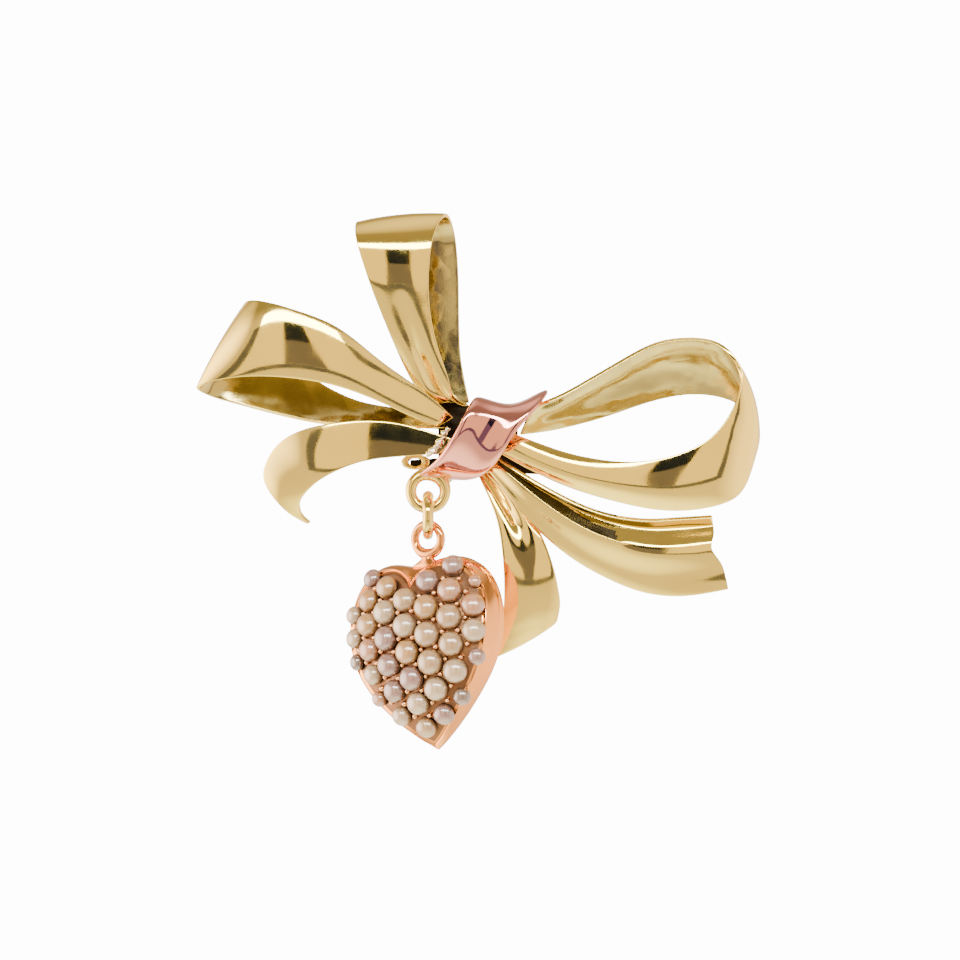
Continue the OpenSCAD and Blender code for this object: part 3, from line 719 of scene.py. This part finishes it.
# pearls
# Tints by column from the left, each from the top down, in the order of the nodes' numbers
pearlColumns = [
    ["white", "white", "grey"],
    ["lilac", "yellow", "yellow", "peach", "white", "peach"],
    ["yellow", "white", "lilac", "lilac", "lilac", "white"],
    ["cream", "white", "yellow", "lilac", "white", "cream"],
    ["lilac", "yellow", "cream", "cream", "white", "lilac"],
    ["lilac", "peach", "cream", "cream", "white", "grey"],
    ["peach", "peach", "white", "lilac"],
]
bead = {
    "around": 32, "rings": 16, "cutAt": -0.25, "flatten": 0.06, "smoothUnder": 50,
    "larger": 1.045, "uneven": 0.03, "height": (0.86, 0.96),
    # Painted shade toward the seat: the height it reaches, how fast it fades and its darkest share
    "shadeTo": 1.14, "shadePower": 1.25, "shadeMost": 0.9,
    # how far a seat moves left and down, as shares of its height over the tip
    "leanIn": 0.014, "settle": 0.023,
}
random.seed(7)

# One half pearl of radius one, cut a little below its middle; every other one is a copy of it
bpy.ops.mesh.primitive_uv_sphere_add(segments=bead["around"], ring_count=bead["rings"], radius=1)
firstPearl = bpy.context.object
firstPearl.name = "halfPearl"
editMode(firstPearl, "ALL")
bpy.ops.mesh.bisect(plane_co=(0, 0, bead["cutAt"]), plane_no=(0, 0, 1), clear_inner=True, use_fill=True)
objectMode()
for v in firstPearl.data.vertices:
    v.co.z -= bead["cutAt"]
    v.co.z *= 1 - bead["flatten"] * v.co.z
# Painted shade: the lower a vertex lies, toward the seat and the visible edge, the darker it is painted
shade = firstPearl.data.color_attributes.new("paintedSeatShade", "FLOAT_COLOR", "POINT")
for v in firstPearl.data.vertices:
    dark = max(0.0, 1 - v.co.z / bead["shadeTo"]) ** bead["shadePower"] * bead["shadeMost"]
    shade.data[v.index].color = (dark, dark, dark, 1)
makeActive(firstPearl)
bpy.ops.object.shade_smooth_by_angle(angle=math.radians(bead["smoothUnder"]))


# A copy with its own mesh, placed with its up along outward
def placedCopy(first, pieceName, place, outward, shape):
    piece = first.copy()
    piece.data = first.data.copy()
    piece.name = pieceName
    bpy.context.scene.collection.objects.link(piece)
    turn = outward.to_track_quat("Z", "Y").to_matrix().to_4x4()
    piece.data.transform(Matrix.Translation(place) @ turn @ shape)
    return piece


# Where the half pearl of a node sits: middle of its base, outward direction and radius
def pearlSeat(nodeName):
    points = [v.co.copy() for v in cadNodes[nodeName].data.vertices]
    outward = (sum(points, Vector()) / len(points) - faceMiddle).normalized()
    base = faceMiddle + outward * (min(p.dot(outward) for p in points) - faceMiddle.dot(outward))
    radius = max((p - base).length for p in points)
    reach = (base - faceMiddle).length
    place = heartPlace.inverted() @ base
    up = place.z + heart["height"] / 2 * mm
    moved = heartPlace @ (place - Vector((bead["leanIn"] * up, 0, bead["settle"] * up)))
    outward = (moved - faceMiddle).normalized()
    return faceMiddle + outward * reach, outward, radius


seats = []
for column in pearlColumns:
    for tintName in column:
        number = "%02d" % (len(seats) + 1)
        base, outward, radius = pearlSeat("pearl_" + number)
        seats.append(base)
        size = radius * bead["larger"]
        shape = Matrix.Diagonal((size * (1 + random.uniform(-1, 1) * bead["uneven"]),
                                 size * (1 + random.uniform(-1, 1) * bead["uneven"]),
                                 size * random.uniform(*bead["height"]), 1))
        spin = Matrix.Rotation(random.uniform(0, 6.28), 4, "Z")
        pearl = placedCopy(firstPearl, "halfPearl_" + number, base, outward, shape @ spin)
        pearl.data.materials.append(pearlTints[tintName])
        finishPiece(pearl, "heart", "pearl", "pearl_" + number)
bpy.data.objects.remove(firstPearl)
print("pearls made:", len(seats))

# grains
# Small beads of gold stand where three pearls meet, raised from the face to hold them
grain = {"radius": 0.3, "tall": 1.3, "rise": 0.16, "reach": 3.15, "size": (0.85, 1.1)}
bpy.ops.mesh.primitive_ico_sphere_add(subdivisions=2, radius=grain["radius"] * mm)
firstGrain = bpy.context.object
firstGrain.name = "grain"
for v in firstGrain.data.vertices:
    v.co.z = v.co.z * grain["tall"] + grain["rise"] * mm
makeActive(firstGrain)
bpy.ops.object.shade_smooth()
grains = []
for a, b, c in itertools.combinations(seats, 3):
    if max((a - b).length, (b - c).length, (a - c).length) > grain["reach"] * mm:
        continue
    outward = ((a + b + c) / 3 - faceMiddle).normalized()
    place = faceMiddle + outward * heart["faceRadius"] * mm
    size = random.uniform(*grain["size"])
    grains.append(placedCopy(firstGrain, "grain_%03d" % len(grains), place, outward,
                             Matrix.Diagonal((size, size, size, 1))))
joinInto(grains[0], *grains[1:])
grains[0].name = "claspingGrains"
grains[0].data.materials.append(grainHighlightGold)
finishPiece(grains[0], "heart", "heart_gold")
bpy.data.objects.remove(firstGrain)
print("grains made:", len(grains))

# camera and studio
view = {"lens": 225, "sensor": 36, "place": (-2.0, -605.0, -1.3), "seesTo": 10}
cameraData = bpy.data.cameras.new("camera")
cameraData.lens = view["lens"]
cameraData.sensor_width = view["sensor"]
cameraData.clip_end = view["seesTo"]  # metres, past the backdrop
camera = bpy.data.objects.new("camera", cameraData)
camera.location = Vector(view["place"]) * mm
camera.rotation_euler = (math.radians(90), 0, 0)
bpy.context.scene.collection.objects.link(camera)
bpy.context.scene.camera = camera

# The studio is a pale tent with an open front, as seen from the brooch. Angles in degrees from
# the line to the camera, sideways and upwards; the cards hang on a plane in front, at reach.
# Sizes in millimetres.
studio = {
    "reach": 600, "layerStep": 4,
    "floorDrop": 90, "floorRadius": 1400, "backdropRadius": 2000, "white": 14.0,
    "opening": {"side": 36, "low": -24, "high": 24, "rim": 7.0, "rimLow": 5.0},
    "band": {"high": 33, "strength": 26.0, "colour": "#FFFFFF"},
    "panel": {"colour": "#FFE2B4", "strength": 1.8},
    "rimColour": "#B4B0E8", "rimStrength": 0.42,
    "column": {"side": 9, "split": 4, "black": 0.12, "blackColour": "#7080D8",
               "brown": 0.5, "brownColour": "#BEB0E0"},
}


def glowMaterial(name, colour, strength):
    material = newMaterial(name)
    glow = addNode(material, "ShaderNodeEmission", {"Color": toLinear(colour), "Strength": strength})
    addNode(material, "ShaderNodeOutputMaterial", {"Surface": glow.outputs["Emission"]})
    return material


def offset(angle):
    return studio["reach"] * math.tan(math.radians(angle))


# A card between two sideways and two upward angles, a little further back for each layer
def addCard(name, left, right, low, high, colour, strength, layer=0):
    bpy.ops.mesh.primitive_plane_add(size=1, rotation=(math.radians(90), 0, 0))
    card = bpy.context.object
    card.name = name
    bpy.ops.object.transform_apply(location=True, rotation=True, scale=True)
    xs, zs = (offset(left), offset(right)), (offset(low), offset(high))
    for v in card.data.vertices:
        v.co = Vector((xs[v.co.x > 0], -studio["reach"] - layer * studio["layerStep"], zs[v.co.z > 0])) * mm
    card.data.materials.append(glowMaterial(name, colour, strength))
    card.visible_camera = False
    card.visible_shadow = False


opening, band, panel, column = studio["opening"], studio["band"], studio["panel"], studio["column"]
side, low, high = opening["side"], opening["low"], opening["high"]
rim, rimLow = opening["rim"], opening["rimLow"]
addCard("cardBand", -side, side, high, band["high"], band["colour"], band["strength"])
for name, left, right in (("cardPanelLeft", -side, -column["side"]),
                          ("cardPanelRight", column["side"], side)):
    addCard(name, left, right, low, high, panel["colour"], panel["strength"], 1)
addCard("cardBlack", -column["side"], column["side"], column["split"], high,
        column["blackColour"], column["black"], 1)
addCard("cardBrown", -column["side"], column["side"], low, column["split"],
        column["brownColour"], column["brown"], 1)
for name, left, right, bottom, top in (
        ("rimLeft", -side - rim, -side, low - rimLow, high),
        ("rimRight", side, side + rim, low - rimLow, high),
        ("rimLow", -side, side, low - rimLow, low)):
    addCard(name, left, right, bottom, top, studio["rimColour"], studio["rimStrength"])

# Floor and backdrop are plain white for the camera and don't show in the gold
for name in ("studioFloor", "studioBackdrop"):
    if name == "studioFloor":
        bpy.ops.mesh.primitive_circle_add(vertices=64, radius=studio["floorRadius"] * mm, fill_type="NGON",
                                          location=(0, 0, -studio["floorDrop"] * mm))
    else:
        bpy.ops.mesh.primitive_uv_sphere_add(segments=32, ring_count=16,
                                             radius=studio["backdropRadius"] * mm)
    wall = bpy.context.object
    wall.name = name
    bpy.ops.object.transform_apply(location=True, rotation=True, scale=True)
    wall.data.materials.append(glowMaterial(name + "White", "#FFFFFF", studio["white"]))
    wall.visible_glossy = wall.visible_diffuse = wall.visible_shadow = False

# The tent itself, by height: a lit floor, warm sides and a darker roof. It is brightest far to the
# left, where the window is, and brighter to the right and behind the brooch.
tent = {
    "strength": 4.8,
    "heights": [(0.0, "#E0DAC0"), (0.08, "#D0C8AC"), (0.17, "#96897A"), (0.40, "#8A7C74"),
                (0.70, "#85776C"), (0.78, "#544C44"), (0.92, "#5E5448"), (1.0, "#A3968C")],
    "window": {"from": -0.72, "to": -0.97, "times": 6.5},
    "sideWindow": {"from": 0.55, "to": 0.95, "times": 2.2},
    "behind": {"from": 0.2, "to": 0.9, "times": 1.5},
}
world = bpy.data.worlds.new("studioTent")
bpy.context.scene.world = world
world.use_nodes = True
direction = addNode(world, "ShaderNodeTexCoord").outputs["Generated"]
parts = addNode(world, "ShaderNodeSeparateXYZ", {0: direction}).outputs
height = addNode(world, "ShaderNodeMapRange", {"Value": parts["Z"], 1: -1.0, 2: 1.0})
ramp = addNode(world, "ShaderNodeValToRGB", {"Fac": height.outputs["Result"]})
for i, (at, colour) in enumerate(tent["heights"]):
    element = ramp.color_ramp.elements[i] if i < 2 else ramp.color_ramp.elements.new(at)
    element.position = at
    element.color = toLinear(colour)
power = tent["strength"]
for axis, glow in (("X", tent["window"]), ("Y", tent["behind"]), ("X", tent["sideWindow"])):
    bright = addNode(world, "ShaderNodeMapRange",
                     {"Value": parts[axis], 1: glow["from"], 2: glow["to"], 3: 1.0, 4: glow["times"]})
    power = addNode(world, "ShaderNodeMath", {0: bright.outputs["Result"], 1: power},
                    operation="MULTIPLY").outputs["Value"]
background = world.node_tree.nodes["Background"]
world.node_tree.links.new(ramp.outputs["Color"], background.inputs["Color"])
world.node_tree.links.new(power, background.inputs["Strength"])
print("studio made")
